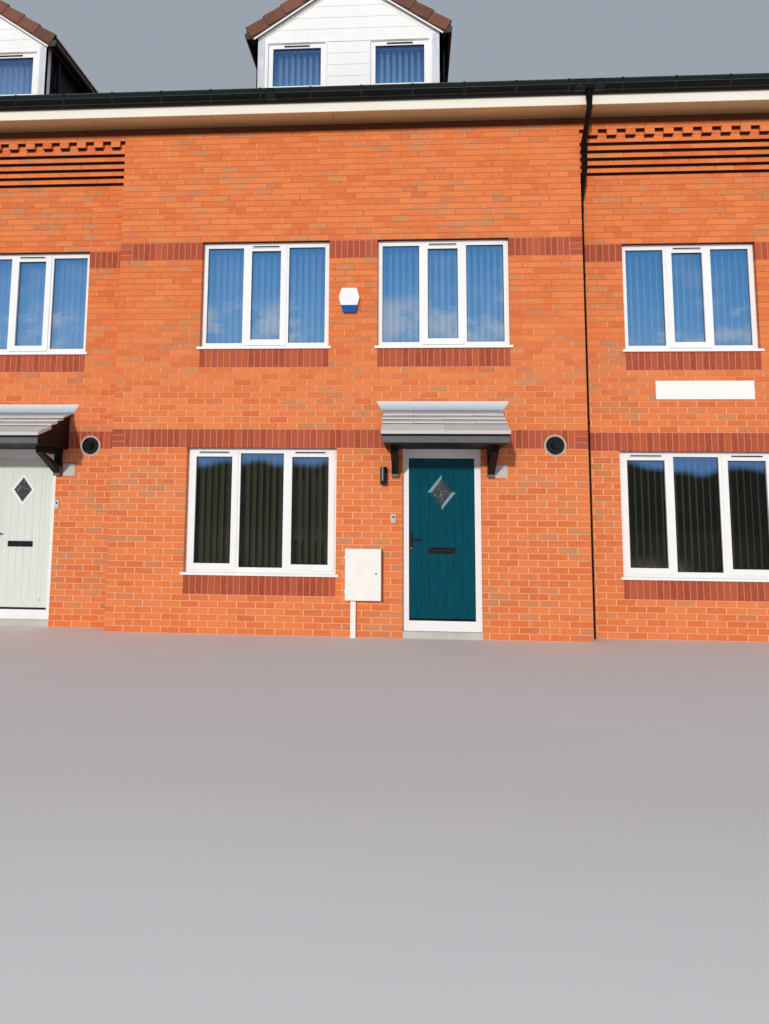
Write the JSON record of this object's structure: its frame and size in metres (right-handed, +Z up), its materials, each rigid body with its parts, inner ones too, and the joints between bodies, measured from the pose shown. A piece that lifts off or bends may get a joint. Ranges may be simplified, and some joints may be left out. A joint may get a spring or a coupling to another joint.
{
  "type": "terraced house row",
  "caption": "Row of brick terraced houses with corbelled eaves, gabled dormers, tiled door canopies and hinged front doors.",
  "frame": {"origin": "middle of the plan, on the underside of the ground slab", "axes": "+X along the row, to the right as seen from the street; the street fronts face -Y; +Z up"},
  "size_m": [15.34, 9.895, 8.6783],
  "materials": {
    "brick": "matt orange-red facing brick with pale mortar",
    "soldier_brick": "matt plum-red facing brick set upright",
    "plaster": "smooth painted plaster on block",
    "concrete": "floated concrete",
    "floorboards": "plain boards",
    "roof_tile": "brown concrete interlocking tiles",
    "ridge_tile": "brown concrete half-round tiles",
    "white_board": "smooth white boards",
    "dark_cheek": "dark sheet cladding",
    "black_plastic": "semi-gloss black",
    "white_frame": "smooth white",
    "glass": "clear double glazing",
    "pale_door": "pale green satin",
    "teal_door": "dark teal satin",
    "black_metal": "black satin",
    "canopy_tile": "light grey flat tiles",
    "lead": "dull grey lead",
    "canopy_wood": "black-brown stained timber",
    "white_plastic": "white moulded plastic",
    "blind_cloth": "pale woven vanes"
  },
  "bodies": {
    "row": {"ground_floor": "concrete", "first_floor": "floorboards", "attic_floor": "floorboards", "party_walls": "plaster", "end_walls": "brick", "left_window_wall": "brick", "left_door_pier": "brick", "left_upper_wall": "brick", "centre_window_wall": "brick", "centre_door_pier": "brick", "centre_upper_wall": "brick", "right_lower_wall": "brick", "right_upper_wall": "brick", "soldier_courses": "soldier_brick", "corbel_panels": "brick", "left_rear_wall": "brick", "centre_rear_wall": "brick", "right_rear_wall": "brick", "roof_front": "roof_tile", "roof_rear": "roof_tile", "ridge_tiles": "ridge_tile", "fascias": "white_board", "soffits": "white_board", "gutters": "black_plastic", "downpipes": "black_plastic", "dormer_fronts": "white_board", "dormer_cheeks": "dark_cheek", "dormer_roofs": "roof_tile", "dormer_bargeboards": "white_board", "ground_window_frames": "white_frame", "upper_window_frames": "white_frame", "dormer_window_frames": "white_frame", "rear_window_frames": "white_frame", "front_glass": "glass", "rear_glass": "glass", "window_sills": "white_frame", "door_frames": "white_frame", "rear_doors": "white_frame", "right_door": "pale_door", "canopy_roofs": "canopy_tile", "canopy_flashings": "lead", "canopy_frames": "canopy_wood", "meter_box": "white_plastic", "wall_light": "black_metal", "doorbells": "white_plastic", "alarm_box": "white_plastic", "flue_terminals": "black_plastic", "wall_plates": "white_plastic", "blinds": "blind_cloth"},
    "left_door_body": {"left_door": "pale_door", "left_door_glass": "glass", "left_door_furniture": "black_metal"},
    "left_flap_body": {"left_letter_flap": "black_metal"},
    "centre_door_body": {"centre_door": "teal_door", "centre_door_rail": "teal_door", "centre_door_glass": "glass", "centre_door_furniture": "black_metal"},
    "centre_lever_body": {"centre_door_lever": "black_metal"},
    "centre_flap_body": {"centre_letter_flap": "black_metal"},
    "meter_door_body": {"meter_box_door": "white_plastic"}
  },
  "joints": [
    {"name": "left_door_hinge", "type": "hinge", "parent": "row", "child": "left_door_body", "pos_m": [-3.706, -3.711, 1.1], "axis": [0, 0, -1], "range_deg": [0, 90]},
    {"name": "left_flap_hinge", "type": "hinge", "parent": "left_door_body", "child": "left_flap_body", "pos_m": [-4.105, -3.768, 1.008], "axis": [1, 0, 0], "range_deg": [0, 80], "stiffness_Nm_per_rad": 0.05},
    {"name": "centre_door_hinge", "type": "hinge", "parent": "row", "child": "centre_door_body", "pos_m": [1.539, -4.043, 1.1], "axis": [0, 0, -1], "range_deg": [0, 90]},
    {"name": "centre_lever_turn", "type": "hinge", "parent": "centre_door_body", "child": "centre_lever_body", "pos_m": [0.785, -4.1, 1.115], "axis": [0, 1, 0], "range_deg": [0, 40], "stiffness_Nm_per_rad": 0.6},
    {"name": "centre_flap_hinge", "type": "hinge", "parent": "centre_door_body", "child": "centre_flap_body", "pos_m": [1.14, -4.1, 1.008], "axis": [1, 0, 0], "range_deg": [0, 80], "stiffness_Nm_per_rad": 0.05},
    {"name": "meter_door_hinge", "type": "hinge", "parent": "row", "child": "meter_door_body", "pos_m": [0.02, -4.366, 0.717], "axis": [0, 0, -1], "range_deg": [0, 105]}
  ]
}
